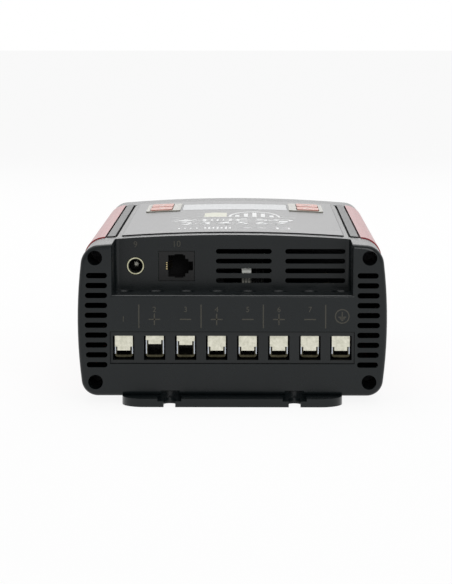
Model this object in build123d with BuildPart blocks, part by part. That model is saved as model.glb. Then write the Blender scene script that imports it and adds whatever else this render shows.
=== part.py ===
from build123d import *
import math
import os

os.makedirs("parts", exist_ok=True)

# All sizes are in millimetres. X is across the case, the terminal end faces -Y, Z is up.

# case section
case_half_width = 75.45
case_side_bulge = 2.8
case_bottom = 3.4
case_shoulder = 76.9
case_rise = 3.3
case_corner = 10.0
case_low_corner = 8.0
case_crown = case_shoulder + case_rise

# lengths along Y
case_front = -130.0
case_rear = 130.0
front_cap_depth = 35.0
rear_cap_depth = 30.0
front_joint = case_front + front_cap_depth
rear_joint = case_rear - rear_cap_depth

# end caps
cap_wall = 2.2
cap_edge = 2.4
cap_boss_r = 5.5
cap_bore_r = 3.6
cap_hole_r = 2.1
cap_screw_span_x = 2 * (case_half_width - 8.7)
cap_screw_low = case_bottom + 6.9
cap_screw_high = case_shoulder - 5.7
cap_screw_span_z = cap_screw_high - cap_screw_low
cap_screw_mid_z = (cap_screw_high + cap_screw_low) / 2
cap_seat_front = front_joint - 6.0
cap_seat_rear = rear_joint + 7.0

# air slots in the columns
air_slot_count = 10
air_slot_height = 2.65
air_slot_taper = 0.8
air_slot_margin = 8.58
air_slot_top = cap_screw_high - air_slot_margin
air_slot_step = (cap_screw_span_z - 2 * air_slot_margin) / (air_slot_count - 1)
air_slot_inner = case_half_width - 14.6
air_slot_outer = case_half_width - 3.6

# foot
foot_half_width = case_half_width - 21.85
foot_reach = 12.0
foot_thickness = 4.0
foot_corner = 11.0
foot_slot_x = 30.3
foot_slot_width = 5.7
foot_slot_inset = 8.6
washer_width = 11.6
washer_depth = 1.2
washer_rise = 2.2

# boards
board_thickness = 1.6
main_board_z = 15.4
board_top = main_board_z + board_thickness

# terminals: the pitch fills the width between the two columns
column_width = 14.85
pole_count = 8
pole_pitch = 2 * (case_half_width - column_width) / pole_count
poles_half = pole_pitch * pole_count / 2
window_half_width = poles_half - 1.0
window_bottom = 19.3
window_top = 35.2
block_gap = 0.3
block_front = case_front + 1.0
block_back = case_front + 27.4
block_half_width = poles_half + 0.2
block_bottom = board_top
entry_width = pole_pitch - 4.7
entry_bottom = 21.1
entry_top = 33.0
chamber_front = case_front + 3.4
chamber_back = case_front + 25.4
chamber_top = 41.8
driver_y = case_front + 17.5
driver_hole_r = 3.6
driver_hole_edge = 0.8
driver_well_r = 3.3

# bay over the terminals
bay_floor = 53.0
bay_back = case_front + 25.6
bay_half = poles_half - 2.2
bay_wall = 2.2
bay_corner = 2.2
column_edge = 1.3
bay_mid_z = (bay_floor + case_shoulder) / 2 - 0.4
block_top = bay_floor - bay_wall - 0.3

# wire cages
cage_half_width = entry_width / 2 - 0.85
cage_wall = 0.9
cage_front = case_front + 4.9
cage_back = case_front + 24.5
cage_bottom = 22.0
cage_web = 1.1
cage_roof = 2.5
cage_top = 40.9
cage_bend = 1.4
cage_hole_r = 2.2
cage_pin_r = 0.8
cage_pin_front = case_front + 10.0
cage_pin_back = case_front + 21.0

# pressure plates
plate_low = 25.4
plate_rest = {2: 28.6, 3: 28.15}
plate_half_width = cage_half_width - cage_wall - 0.35
plate_thickness = 2.0
plate_back = case_front + 24.0
tab_half_width = cage_half_width
tab_thickness = 0.9
tab_height = 7.5
tab_shoulder = 1.9
tab_gap = 0.3

# terminal screws
term_shank_r = 1.9
term_shank_gap = 0.3
term_head_rise = 16.3
term_head_r = 2.9
term_head_height = 2.6
term_cross = 0.9

# sensor jack
sensor_x = -bay_half + 10.2
sensor_z = bay_mid_z + 0.1
sensor_ring_r = 4.2
sensor_ring_bore = 3.65
sensor_liner = 3.2
sensor_hole_r = 4.5
sensor_pin_r = 1.95
sensor_front = bay_back - 0.5
sensor_floor = bay_back + 12.4
sensor_depth = 16.9
sensor_pin_length = 3.2
sensor_pin_dome = 1.3

# data jack
data_width = 17.7
data_height = 14.6
data_left = -bay_half + 21.7
data_front = bay_back + 0.4
data_back = bay_back + 15.9
data_mid_z = bay_mid_z
contact_count = 4
contact_pitch = 1.02
contact_depth = 0.7
contact_width = 0.42

# vents in the bay
vent_count = 4
vent_top = case_shoulder - 5.0
vent_bottom = bay_floor + 4.35
vent_height = 2.45
vent_a_x = 5.55
vent_a_length = 27.7
vent_b_x = bay_half - 17.4
vent_b_length = 29.8

# side and top panels
panel_thickness = 2.0
panel_proud = 0.5
panel_edge = case_half_width - 11.6
ledge_thickness = 1.5
ledge_inner = case_half_width - 15.6
port_r = 3.8
port_hole_r = 1.8
top_half_width = case_half_width - 12.6
groove_x = case_half_width - 17.1
groove_width = 1.0
groove_depth = 1.3
rail_rise = 0.5
rail_inner = groove_x + groove_width / 2
rail_gap = 1.2
pocket_width = 2.2
pocket_length = 3.2
label_bed_half = case_half_width - 19.8
label_bed_depth = 0.6
label_half = label_bed_half - 0.4
label_rise = 0.55
label_front = front_joint + 1.6
label_rear = rear_joint - 1.4
bottom_half_width = case_half_width - 12.4

# display and keys
display_y = rear_joint - 42.0
surround_outer = label_half - 5.9
surround_length = 46.0
surround_rise = 1.1
key_x = surround_outer - 8.4
key_width = 12.0
key_length = 18.0
key_spread = 21.0
key_gap = 0.4
key_rise = 1.5
key_stem_r = 1.6
key_collar_r = 2.9
window_length = 36.0
window_half = key_x - 11.6
window_sink = 1.4
surround_inner = window_half + 0.9
sight_half = window_half - 1.8
sight_length = 32.5
module_height = 8.6
display_board_half = label_bed_half - 0.6
display_board_length = 56.0
display_board_gap = 11.9
post_x = label_half - 4.2
post_y = 23.0

ribbon_width = 12.0
ribbon_end = -46.1
ribbon_drop = 9.0

# main board
main_board_half = case_half_width - 14.9
capacitor_r = 8.0
capacitor_outer = main_board_half - 18.5
capacitor_inner = main_board_half - 36.5

# the ribbon and the heat sink's fins end short of the inner capacitors
ribbon_clearance = 0.05
ribbon_x = capacitor_inner - capacitor_r - ribbon_clearance - ribbon_width / 2
fin_clearance = 5.55
fin_foot = -5.5
fin_length = capacitor_inner - capacitor_r - fin_clearance - fin_foot
choke_places = ((-34, 10), (main_board_half - 26.55, 10))

# the board's ends, columns and screws
main_board_front = case_front + 4.0
main_board_rear = rear_joint - 5.0
standoff_x = main_board_half - 9.5
standoff_y = 82.0
standoff_r = 3.2
board_screw_r = 1.45

# control board header
header_x = 6.9
header_z = bay_floor + 3.0

# fan
fan_z = (case_bottom + case_crown) / 2
fan_size = 60.0
fan_front = case_rear - 22.7
fan_depth = 20.0
fan_bore_r = 28.6
fan_hole_span = 50.0
fan_hub_r = 12.0
blade_r = 27.6
blade_count = 11
blade_chord = 17.0
blade_pitch = 27.0

pole_x = [pole_pitch * (i - (pole_count - 1) / 2) for i in range(pole_count)]
vent_step = (vent_top - vent_bottom) / (vent_count - 1)
vent_z = [vent_bottom + vent_step * i for i in range(vent_count)]
contact_z = [
    data_mid_z + contact_pitch * (i - (contact_count - 1) / 2) for i in range(contact_count)
]


def across(y):
    """Plane across the case at depth y; extruding from it runs towards the terminal end."""
    return Plane.XZ.offset(-y)


def level(z):
    """Level plane at height z."""
    return Plane.XY.offset(z)


def case_outline(inset=0.0):
    """Section of the case, moved inwards by inset."""
    half_mid = case_half_width - inset
    half_end = half_mid - case_side_bulge
    low = case_bottom + inset
    high = case_shoulder - inset
    mid = (low + high) / 2
    with BuildSketch() as outline:
        with BuildLine():
            ThreePointArc((-half_end, low), (-half_mid, mid), (-half_end, high))
            ThreePointArc((-half_end, high), (0, case_crown - inset), (half_end, high))
            ThreePointArc((half_end, high), (half_mid, mid), (half_end, low))
            Line((half_end, low), (-half_end, low))
        make_face()
        corners = outline.vertices().sort_by(Axis.Y)
        fillet(corners[:2], case_low_corner - inset)
        fillet(outline.vertices().sort_by(Axis.Y)[-2:], case_corner - inset)
    return outline.sketch


def skin(outer, inner, x_from, x_to, z_from=-10.0, z_to=100.0):
    """Part of the case wall between two insets, kept from x_from to x_to."""
    with BuildSketch() as strip:
        add(case_outline(outer))
        add(case_outline(inner), mode=Mode.SUBTRACT)
        with Locations(((x_from + x_to) / 2, (z_from + z_to) / 2)):
            Rectangle(x_to - x_from, z_to - z_from, mode=Mode.INTERSECT)
    return strip.sketch


def top_height(x):
    """Height of the outer top surface at x."""
    half_end = case_half_width - case_side_bulge
    radius = (half_end**2 + case_rise**2) / (2 * case_rise)
    return case_crown - radius + math.sqrt(radius**2 - x**2)


def save(piece, name):
    """Label a piece and write its STEP file."""
    piece.label = name
    export_step(piece, f"parts/{name}.step")


case_section = case_outline()
case_hollow = case_outline(cap_wall)

# hollow of the front cap: everything inside the walls but the bay and the screw bosses
with BuildPart() as front_hollow:
    with BuildSketch(across(front_joint)):
        add(case_hollow)
    extrude(amount=front_joint - case_front - cap_wall)
    with BuildSketch(level(bay_floor - bay_wall)):
        with Locations((0, case_front - 1)):
            Rectangle(
                2 * (bay_half + bay_wall),
                bay_back + bay_wall - case_front + 1,
                align=(Align.CENTER, Align.MIN),
            )
    extrude(amount=50, mode=Mode.SUBTRACT)
    with BuildSketch(across(front_joint)):
        with Locations((0, cap_screw_mid_z)):
            with GridLocations(cap_screw_span_x, cap_screw_span_z, 2, 2):
                Circle(cap_boss_r)
    extrude(amount=front_joint - case_front, mode=Mode.SUBTRACT)

with BuildPart() as front_cap:
    with BuildSketch(across(front_joint)):
        add(case_section)
    extrude(amount=front_joint - case_front)
    fillet(front_cap.faces().sort_by(Axis.Y)[0].edges(), cap_edge)
    add(front_hollow.part, mode=Mode.SUBTRACT)
    # foot
    with BuildSketch(level(0)) as foot_plan:
        with Locations((0, case_front - foot_reach)):
            Rectangle(
                2 * foot_half_width,
                front_joint - case_front + foot_reach,
                align=(Align.CENTER, Align.MIN),
            )
        fillet(foot_plan.vertices().sort_by(Axis.Y)[:2], foot_corner)
    extrude(amount=foot_thickness)
    # bolt slots, open at the front edge, with a shallow seat for the washer
    for x in (-foot_slot_x, foot_slot_x):
        with BuildSketch(level(-1)):
            with Locations((x, case_front - foot_reach + foot_slot_inset)):
                Circle(foot_slot_width / 2)
                Rectangle(foot_slot_width, 20, align=(Align.CENTER, Align.MAX))
        extrude(amount=foot_thickness + 2, mode=Mode.SUBTRACT)
        with BuildSketch(level(foot_thickness - washer_depth)):
            with Locations((x, case_front - foot_reach + foot_slot_inset)):
                Circle(washer_width / 2)
                Rectangle(washer_width, 20, align=(Align.CENTER, Align.MAX))
        extrude(amount=washer_depth + washer_rise, mode=Mode.SUBTRACT)
    # bay, with the front corners of the two columns rounded
    with BuildSketch(level(bay_floor)) as bay_plan:
        with BuildLine():
            Polyline(
                (-bay_half, case_front + column_edge),
                (-bay_half, bay_back),
                (bay_half, bay_back),
                (bay_half, case_front + column_edge),
            )
            ThreePointArc(
                (bay_half, case_front + column_edge),
                (bay_half + 0.293 * column_edge, case_front + 0.293 * column_edge),
                (bay_half + column_edge, case_front - 0.01),
            )
            Line(
                (bay_half + column_edge, case_front - 0.01),
                (-bay_half - column_edge, case_front - 0.01),
            )
            ThreePointArc(
                (-bay_half - column_edge, case_front - 0.01),
                (-bay_half - 0.293 * column_edge, case_front + 0.293 * column_edge),
                (-bay_half, case_front + column_edge),
            )
        make_face()
        fillet(bay_plan.vertices().sort_by(Axis.Y)[-2:], bay_corner)
    extrude(amount=40, mode=Mode.SUBTRACT)
    shelf_edges = front_cap.edges().filter_by(Axis.X)
    shelf_edges = shelf_edges.filter_by_position(Axis.Z, bay_floor - 0.1, bay_floor + 0.1)
    shelf_edges = shelf_edges.filter_by_position(Axis.Y, case_front - 0.1, case_front + 0.1)
    fillet(shelf_edges, 1.0)
    # window for the terminal block
    with BuildSketch(across(case_front + cap_wall + 1)):
        with Locations((0, window_bottom)):
            Rectangle(
                2 * window_half_width,
                window_top - window_bottom,
                align=(Align.CENTER, Align.MIN),
            )
    extrude(amount=cap_wall + 2, mode=Mode.SUBTRACT)
    # holes for the screwdriver
    with BuildSketch(level(bay_floor - bay_wall - 1)):
        with Locations([(x, driver_y) for x in pole_x]):
            Circle(driver_hole_r)
    extrude(amount=bay_wall + 2, mode=Mode.SUBTRACT)
    with BuildSketch(level(bay_floor)):
        with Locations([(x, driver_y) for x in pole_x]):
            Circle(driver_hole_r + driver_hole_edge)
    extrude(amount=-driver_hole_edge, taper=45, mode=Mode.SUBTRACT)
    # air slots in the columns
    with BuildSketch(across(case_front + cap_wall + 1)):
        for i in range(air_slot_count):
            z = air_slot_top - i * air_slot_step
            lean = air_slot_taper * ((z - cap_screw_mid_z) / (cap_screw_span_z / 2.8)) ** 2
            width = air_slot_outer - lean - air_slot_inner
            middle = air_slot_inner + width / 2
            with Locations((-middle, z), (middle, z)):
                SlotOverall(width, air_slot_height)
    extrude(amount=cap_wall + 4, mode=Mode.SUBTRACT)
    # screw bores
    with BuildSketch(across(cap_seat_front)):
        with Locations((0, cap_screw_mid_z)):
            with GridLocations(cap_screw_span_x, cap_screw_span_z, 2, 2):
                Circle(cap_bore_r)
    extrude(amount=cap_seat_front - case_front + 1, mode=Mode.SUBTRACT)
    with BuildSketch(across(front_joint + 1)):
        with Locations((0, cap_screw_mid_z)):
            with GridLocations(cap_screw_span_x, cap_screw_span_z, 2, 2):
                Circle(cap_hole_r)
    extrude(amount=front_joint - case_front, mode=Mode.SUBTRACT)
    # sockets and vents in the back wall of the bay
    with BuildSketch(across(bay_back + bay_wall + 1)):
        with Locations((sensor_x, sensor_z)):
            Circle(sensor_hole_r)
        with Locations((data_left + data_width / 2, data_mid_z)):
            Rectangle(data_width + 0.4, data_height + 0.4)
        with Locations([(vent_a_x, z) for z in vent_z]):
            SlotOverall(vent_a_length, vent_height)
        with Locations([(vent_b_x, z) for z in vent_z]):
            SlotOverall(vent_b_length, vent_height)
    extrude(amount=bay_wall + 2, mode=Mode.SUBTRACT)
save(front_cap.part, "front_cap")

# rear cap, with a round grille for the fan
with BuildPart() as rear_hollow:
    with BuildSketch(across(case_rear - cap_wall)):
        add(case_hollow)
    extrude(amount=case_rear - cap_wall - rear_joint)
    with BuildSketch(across(case_rear)):
        with Locations((0, cap_screw_mid_z)):
            with GridLocations(cap_screw_span_x, cap_screw_span_z, 2, 2):
                Circle(cap_boss_r)
    extrude(amount=case_rear - rear_joint, mode=Mode.SUBTRACT)

with BuildPart() as rear_cap:
    with BuildSketch(across(case_rear)):
        add(case_section)
    extrude(amount=case_rear - rear_joint)
    fillet(rear_cap.faces().sort_by(Axis.Y)[-1].edges(), cap_edge)
    add(rear_hollow.part, mode=Mode.SUBTRACT)
    with BuildSketch(level(0)) as rear_foot_plan:
        with Locations((0, case_rear + foot_reach)):
            Rectangle(
                2 * foot_half_width,
                case_rear - rear_joint + foot_reach,
                align=(Align.CENTER, Align.MAX),
            )
        fillet(rear_foot_plan.vertices().sort_by(Axis.Y)[-2:], foot_corner)
    extrude(amount=foot_thickness)
    for x in (-foot_slot_x, foot_slot_x):
        with BuildSketch(level(-1)):
            with Locations((x, case_rear + foot_reach - foot_slot_inset)):
                Circle(foot_slot_width / 2)
                Rectangle(foot_slot_width, 20, align=(Align.CENTER, Align.MIN))
        extrude(amount=foot_thickness + 2, mode=Mode.SUBTRACT)
        with BuildSketch(level(foot_thickness - washer_depth)):
            with Locations((x, case_rear + foot_reach - foot_slot_inset)):
                Circle(washer_width / 2)
                Rectangle(washer_width, 20, align=(Align.CENTER, Align.MIN))
        extrude(amount=washer_depth + washer_rise, mode=Mode.SUBTRACT)
    with BuildSketch(across(case_rear + 1)):
        with Locations((0, fan_z)):
            for ring_r in (24.3, 17.7, 11.1):
                Circle(ring_r + 2.2)
                Circle(ring_r - 2.2, mode=Mode.SUBTRACT)
            Rectangle(fan_size, 3, rotation=45, mode=Mode.SUBTRACT)
            Rectangle(fan_size, 3, rotation=-45, mode=Mode.SUBTRACT)
            with GridLocations(fan_hole_span, fan_hole_span, 2, 2):
                Circle(2.2)
    extrude(amount=cap_wall + 5, mode=Mode.SUBTRACT)
    with BuildSketch(across(case_rear + 1)):
        with Locations((0, cap_screw_mid_z)):
            with GridLocations(cap_screw_span_x, cap_screw_span_z, 2, 2):
                Circle(cap_bore_r)
    extrude(amount=case_rear + 1 - cap_seat_rear, mode=Mode.SUBTRACT)
    with BuildSketch(across(cap_seat_rear + 1)):
        with Locations((0, cap_screw_mid_z)):
            with GridLocations(cap_screw_span_x, cap_screw_span_z, 2, 2):
                Circle(cap_hole_r)
    extrude(amount=cap_seat_rear + 2 - rear_joint, mode=Mode.SUBTRACT)
save(rear_cap.part, "rear_cap")

# cap screws: head, cross recess and a shank that runs into the side panels
cap_shank_r = port_hole_r - 0.05
cap_head_r = 3.1
cap_head_height = 2.6
for name, seat, outward in (
    ("front_cap_screws", cap_seat_front, 1),
    ("rear_cap_screws", cap_seat_rear, -1),
):
    with BuildPart() as cap_screws:
        head_plane = across(seat) if outward > 0 else across(seat + cap_head_height)
        with BuildSketch(head_plane):
            with Locations((0, cap_screw_mid_z)):
                with GridLocations(cap_screw_span_x, cap_screw_span_z, 2, 2):
                    Circle(cap_head_r)
        extrude(amount=cap_head_height)
        shank_plane = across(seat + 25) if outward > 0 else across(seat)
        with BuildSketch(shank_plane):
            with Locations((0, cap_screw_mid_z)):
                with GridLocations(cap_screw_span_x, cap_screw_span_z, 2, 2):
                    Circle(cap_shank_r)
        extrude(amount=25)
        cross_y = seat - cap_head_height + 1.5 if outward > 0 else seat + cap_head_height + 1
        with BuildSketch(across(cross_y)):
            with Locations((0, cap_screw_mid_z)):
                with GridLocations(cap_screw_span_x, cap_screw_span_z, 2, 2):
                    Rectangle(4.0, 0.9)
                    Rectangle(0.9, 4.0)
        extrude(amount=2.5, mode=Mode.SUBTRACT)
    save(cap_screws.part, name)

# side panels: the wall round both corners, screw ports and the ledges the flat panels sit on
for name, side in (("side_panel_left", -1), ("side_panel_right", 1)):
    near, far = sorted((side * panel_edge, side * (case_half_width + 9)))
    wall = skin(-panel_proud, panel_thickness, near, far)
    near, far = sorted((side * ledge_inner, side * (panel_edge + 3.2)))
    ledge = skin(panel_thickness, panel_thickness + ledge_thickness, near, far)
    with BuildPart() as side_panel:
        with BuildSketch(across(rear_joint)):
            add(wall)
            add(ledge)
            with Locations(
                (side * cap_screw_span_x / 2, cap_screw_low),
                (side * cap_screw_span_x / 2, cap_screw_high),
            ):
                Circle(port_r)
            with Locations(
                (side * cap_screw_span_x / 2, cap_screw_low),
                (side * cap_screw_span_x / 2, cap_screw_high),
            ):
                Circle(port_hole_r, mode=Mode.SUBTRACT)
        extrude(amount=rear_joint - front_joint)
    save(side_panel.part, name)

# flat panel below
with BuildPart() as bottom_panel:
    with BuildSketch(across(rear_joint)):
        with Locations((0, case_bottom)):
            Rectangle(2 * bottom_half_width, panel_thickness, align=(Align.CENTER, Align.MIN))
    extrude(amount=rear_joint - front_joint)
    # cooling slots under the board
    with BuildSketch(level(case_bottom - 1)):
        with Locations((0, (front_joint + rear_joint) / 2)):
            with GridLocations(30, 12, 3, 8):
                SlotOverall(20, 3)
    extrude(amount=panel_thickness + 2, mode=Mode.SUBTRACT)
save(bottom_panel.part, "bottom_panel")

key_y = (display_y - key_spread / 2, display_y + key_spread / 2)
key_places = [(x, y) for x in (-key_x, key_x) for y in key_y]

# top panel, with two grooves each side, the bed for the label, the display and the keys
with BuildPart() as top_panel:
    with BuildSketch(across(rear_joint)):
        add(skin(0, panel_thickness, -top_half_width, top_half_width, cap_screw_mid_z))
        for near, far in ((-top_half_width, -rail_inner), (rail_inner, top_half_width)):
            add(skin(-rail_rise, 1.0, near, far, cap_screw_mid_z))
        for x in (-groove_x, groove_x):
            add(
                skin(-1, groove_depth, x - groove_width / 2, x + groove_width / 2, cap_screw_mid_z),
                mode=Mode.SUBTRACT,
            )
        add(skin(-1, label_bed_depth, -label_bed_half, label_bed_half, cap_screw_mid_z), mode=Mode.SUBTRACT)
    extrude(amount=rear_joint - front_joint)
    # the rails stop short at the terminal end, and the grooves widen at the far end
    with BuildSketch(across(front_joint + rail_gap)):
        for near, far in ((-top_half_width, -rail_inner), (rail_inner, top_half_width)):
            add(skin(-1, groove_depth, near, far, cap_screw_mid_z))
    extrude(amount=rail_gap, mode=Mode.SUBTRACT)
    with BuildSketch(across(rear_joint)):
        for x in (-top_half_width, -groove_x, groove_x, top_half_width):
            add(skin(-1, groove_depth, x - pocket_width / 2, x + pocket_width / 2, cap_screw_mid_z))
    extrude(amount=pocket_length, mode=Mode.SUBTRACT)
    with BuildSketch(across(display_y + window_length / 2)):
        add(skin(-1, window_sink, -window_half, window_half, cap_screw_mid_z))
    extrude(amount=window_length, mode=Mode.SUBTRACT)
    with BuildSketch(level(60)):
        with Locations((0, display_y)):
            Rectangle(2 * sight_half, sight_length)
    extrude(amount=30, mode=Mode.SUBTRACT)
    for y in key_y:
        with BuildSketch(across(y + key_length / 2 + key_gap)):
            for x in (-key_x, key_x):
                half = key_width / 2 + key_gap
                add(skin(-1, window_sink, x - half, x + half, cap_screw_mid_z))
        extrude(amount=key_length + 2 * key_gap, mode=Mode.SUBTRACT)
    with BuildSketch(level(60)):
        with Locations(key_places):
            Circle(key_stem_r + 0.5)
    extrude(amount=30, mode=Mode.SUBTRACT)
save(top_panel.part, "top_panel")

# label, with openings for the display and the keys
with BuildPart() as label_sheet:
    with BuildSketch(across(label_rear)):
        add(skin(-label_rise, label_bed_depth, -label_half, label_half, cap_screw_mid_z))
    extrude(amount=label_rear - label_front)
    with BuildSketch(level(60)):
        with Locations((0, display_y)):
            Rectangle(2 * window_half + 0.2, window_length + 0.2)
        with Locations(key_places):
            Rectangle(key_width + 2 * key_gap, key_length + 2 * key_gap)
    extrude(amount=30, mode=Mode.SUBTRACT)
save(label_sheet.part, "label_sheet")

with BuildPart() as display_window:
    with BuildSketch(across(display_y + window_length / 2 - 0.1)):
        add(skin(-label_rise - 0.05, window_sink, -window_half + 0.1, window_half - 0.1, cap_screw_mid_z))
    extrude(amount=window_length - 0.2)
save(display_window.part, "display_window")

# pale surrounds of the keys
for name, side in (("key_surround_left", -1), ("key_surround_right", 1)):
    near, far = sorted((side * surround_inner, side * surround_outer))
    with BuildPart() as key_surround:
        with BuildSketch(across(display_y + surround_length / 2)):
            add(skin(-surround_rise, -label_rise, near, far, cap_screw_mid_z))
        extrude(amount=surround_length)
        fillet(key_surround.edges().filter_by(Axis.Z), 2.0)
        with BuildSketch(level(60)) as key_holes:
            with Locations([(side * key_x, y) for y in key_y]):
                Rectangle(key_width + 2 * key_gap, key_length + 2 * key_gap)
            fillet(key_holes.vertices(), 1.5)
        extrude(amount=30, mode=Mode.SUBTRACT)
    save(key_surround.part, name)

# keys: cap, stem and a collar under the panel that keeps the key in
display_board_z = top_height(key_x) - display_board_gap
display_board_top = display_board_z + board_thickness
key_stem_bottom = display_board_top + 5.5
key_names = ("key_left_near", "key_left_far", "key_right_near", "key_right_far")
for name, (x, y) in zip(key_names, key_places):
    with BuildPart() as key:
        with BuildSketch(across(y + key_length / 2)):
            add(skin(-key_rise, label_bed_depth, x - key_width / 2, x + key_width / 2, cap_screw_mid_z))
        extrude(amount=key_length)
        fillet(key.edges().filter_by(Axis.Z), 1.4)
        with BuildSketch(level(key_stem_bottom)):
            with Locations((x, y)):
                Circle(key_stem_r)
        extrude(amount=top_height(key_x) - key_stem_bottom)
        with BuildSketch(level(key_stem_bottom + 1.2)):
            with Locations((x, y)):
                Circle(key_collar_r)
        extrude(amount=0.8)
    save(key.part, name)

# display board under the top panel, on four posts
post_places = [(x, display_y + y) for x in (-post_x, post_x) for y in (-post_y, post_y)]
with BuildPart() as display_board:
    with BuildSketch(level(display_board_z)):
        with Locations((0, display_y)):
            Rectangle(2 * display_board_half, display_board_length)
        with Locations(post_places):
            Circle(1.6, mode=Mode.SUBTRACT)
    extrude(amount=board_thickness)
save(display_board.part, "display_board")

with BuildPart() as display_posts:
    with BuildSketch(level(display_board_top)):
        with Locations(post_places):
            RegularPolygon(2.6, 6)
    extrude(amount=20)
    with BuildSketch(across(rear_joint)):
        add(skin(-15, panel_thickness, -label_half, label_half, cap_screw_mid_z))
    extrude(amount=rear_joint - front_joint, mode=Mode.SUBTRACT)
    with BuildSketch(level(display_board_top)):
        with Locations(post_places):
            Circle(1.3)
    extrude(amount=6, mode=Mode.SUBTRACT)
save(display_posts.part, "display_posts")

with BuildPart() as display_screws:
    with BuildSketch(level(display_board_z - 1.8)):
        with Locations(post_places):
            Circle(2.5)
    extrude(amount=1.8)
    with BuildSketch(level(display_board_z)):
        with Locations(post_places):
            Circle(1.25)
    extrude(amount=board_thickness + 5)
    with BuildSketch(level(display_board_z - 2.8)):
        with Locations(post_places):
            Rectangle(3.4, 0.8)
            Rectangle(0.8, 3.4)
    extrude(amount=2, mode=Mode.SUBTRACT)
save(display_screws.part, "display_screws")

with BuildPart() as display_module:
    with BuildSketch(level(display_board_top)):
        with Locations((0, display_y)):
            Rectangle(2 * window_half + 1.4, window_length + 2)
    extrude(amount=module_height)
    with BuildSketch(level(display_board_top + module_height - 0.8)):
        with Locations((0, display_y)):
            Rectangle(2 * sight_half - 1.0, sight_length - 1.5)
    extrude(amount=2, mode=Mode.SUBTRACT)
save(display_module.part, "display_module")

with BuildPart() as display_screen:
    with BuildSketch(level(display_board_top + module_height - 0.8)):
        with Locations((0, display_y)):
            Rectangle(2 * sight_half - 1.2, sight_length - 1.7)
    extrude(amount=0.8)
save(display_screen.part, "display_screen")

with BuildPart() as key_switches:
    with BuildSketch(level(display_board_top)):
        with Locations(key_places):
            Rectangle(6, 6)
    extrude(amount=3.5)
    with BuildSketch(level(display_board_top + 3.5)):
        with Locations(key_places):
            Circle(1.75)
    extrude(amount=1.2)
save(key_switches.part, "key_switches")

with BuildPart() as display_ribbon:
    with BuildSketch(Plane.YZ.offset(ribbon_x - ribbon_width / 2)):
        with BuildLine():
            Polyline(
                (display_y - 20, display_board_z),
                (display_y - 20, display_board_z - 5),
                (display_y - 29, display_board_z - 7),
                (ribbon_end + 9, display_board_z - ribbon_drop),
                (ribbon_end, display_board_z - 16),
                (ribbon_end, board_top + 4),
                (ribbon_end - 0.9, board_top + 4),
                (ribbon_end - 0.9, display_board_z - 15.6),
                (ribbon_end + 8.7, display_board_z - 8.1),
                (display_y - 29.2, display_board_z - 6.1),
                (display_y - 20.9, display_board_z - 4.2),
                (display_y - 20.9, display_board_z),
                close=True,
            )
        make_face()
    extrude(amount=ribbon_width)
    # plugs at both ends
    with BuildSketch(level(board_top)):
        with Locations((ribbon_x, ribbon_end - 0.45)):
            Rectangle(ribbon_width + 2, 5)
    extrude(amount=6)
    with BuildSketch(level(display_board_z - 4)):
        with Locations((ribbon_x, display_y - 20.45)):
            Rectangle(ribbon_width + 2, 5)
    extrude(amount=4)
save(display_ribbon.part, "display_ribbon")

# main board on four posts
board_posts = [(x, y) for x in (-standoff_x, standoff_x) for y in (-standoff_y, standoff_y)]
cage_pins = [(x, y) for x in pole_x for y in (cage_pin_front, cage_pin_back)]
with BuildPart() as main_board:
    with BuildSketch(level(main_board_z)):
        with Locations((0, (main_board_front + main_board_rear) / 2)):
            Rectangle(2 * main_board_half, main_board_rear - main_board_front)
        with Locations(board_posts):
            Circle(1.7, mode=Mode.SUBTRACT)
        with Locations(cage_pins):
            Circle(cage_pin_r + 0.2, mode=Mode.SUBTRACT)
    extrude(amount=board_thickness)
save(main_board.part, "main_board")

with BuildPart() as standoffs:
    with BuildSketch(level(case_bottom + panel_thickness)):
        with Locations(board_posts):
            Circle(standoff_r)
        with Locations(board_posts):
            Circle(board_screw_r + 0.05, mode=Mode.SUBTRACT)
    extrude(amount=main_board_z - case_bottom - panel_thickness)
save(standoffs.part, "standoffs")

with BuildPart() as board_screws:
    with BuildSketch(level(board_top)):
        with Locations(board_posts):
            Circle(2.8)
    extrude(amount=2.2)
    with BuildSketch(level(board_top - board_thickness - 6)):
        with Locations(board_posts):
            Circle(board_screw_r)
    extrude(amount=board_thickness + 6)
    with BuildSketch(level(board_top + 1)):
        with Locations(board_posts):
            Rectangle(3.8, 0.8)
            Rectangle(0.8, 3.8)
    extrude(amount=2, mode=Mode.SUBTRACT)
save(board_screws.part, "board_screws")

# terminal block: one housing with a chamber, an entry and a driver well for each pole
with BuildPart() as terminal_block:
    with BuildSketch(level(block_bottom)):
        with Locations((0, case_front + cap_wall)):
            Rectangle(
                2 * block_half_width,
                block_back - case_front - cap_wall,
                align=(Align.CENTER, Align.MIN),
            )
    extrude(amount=block_top - block_bottom)
    with BuildSketch(across(case_front + cap_wall)):
        with Locations((0, window_bottom + block_gap)):
            Rectangle(
                2 * (window_half_width - block_gap),
                window_top - window_bottom - 2 * block_gap,
                align=(Align.CENTER, Align.MIN),
            )
    extrude(amount=case_front + cap_wall - block_front)
    with BuildSketch(across(chamber_back)):
        with Locations([(x, (entry_bottom + chamber_top) / 2) for x in pole_x]):
            Rectangle(entry_width, chamber_top - entry_bottom)
    extrude(amount=chamber_back - chamber_front, mode=Mode.SUBTRACT)
    with BuildSketch(across(chamber_front + 0.1)):
        with Locations([(x, (entry_bottom + entry_top) / 2) for x in pole_x]):
            Rectangle(entry_width, entry_top - entry_bottom)
    extrude(amount=4, mode=Mode.SUBTRACT)
    with BuildSketch(level(chamber_top - 0.1)):
        with Locations([(x, driver_y) for x in pole_x]):
            Circle(driver_well_r)
    extrude(amount=20, mode=Mode.SUBTRACT)
    with BuildSketch(level(block_bottom - 1)):
        with Locations(cage_pins):
            Circle(cage_pin_r + 0.2)
    extrude(amount=6, mode=Mode.SUBTRACT)
save(terminal_block.part, "terminal_block")

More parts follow.
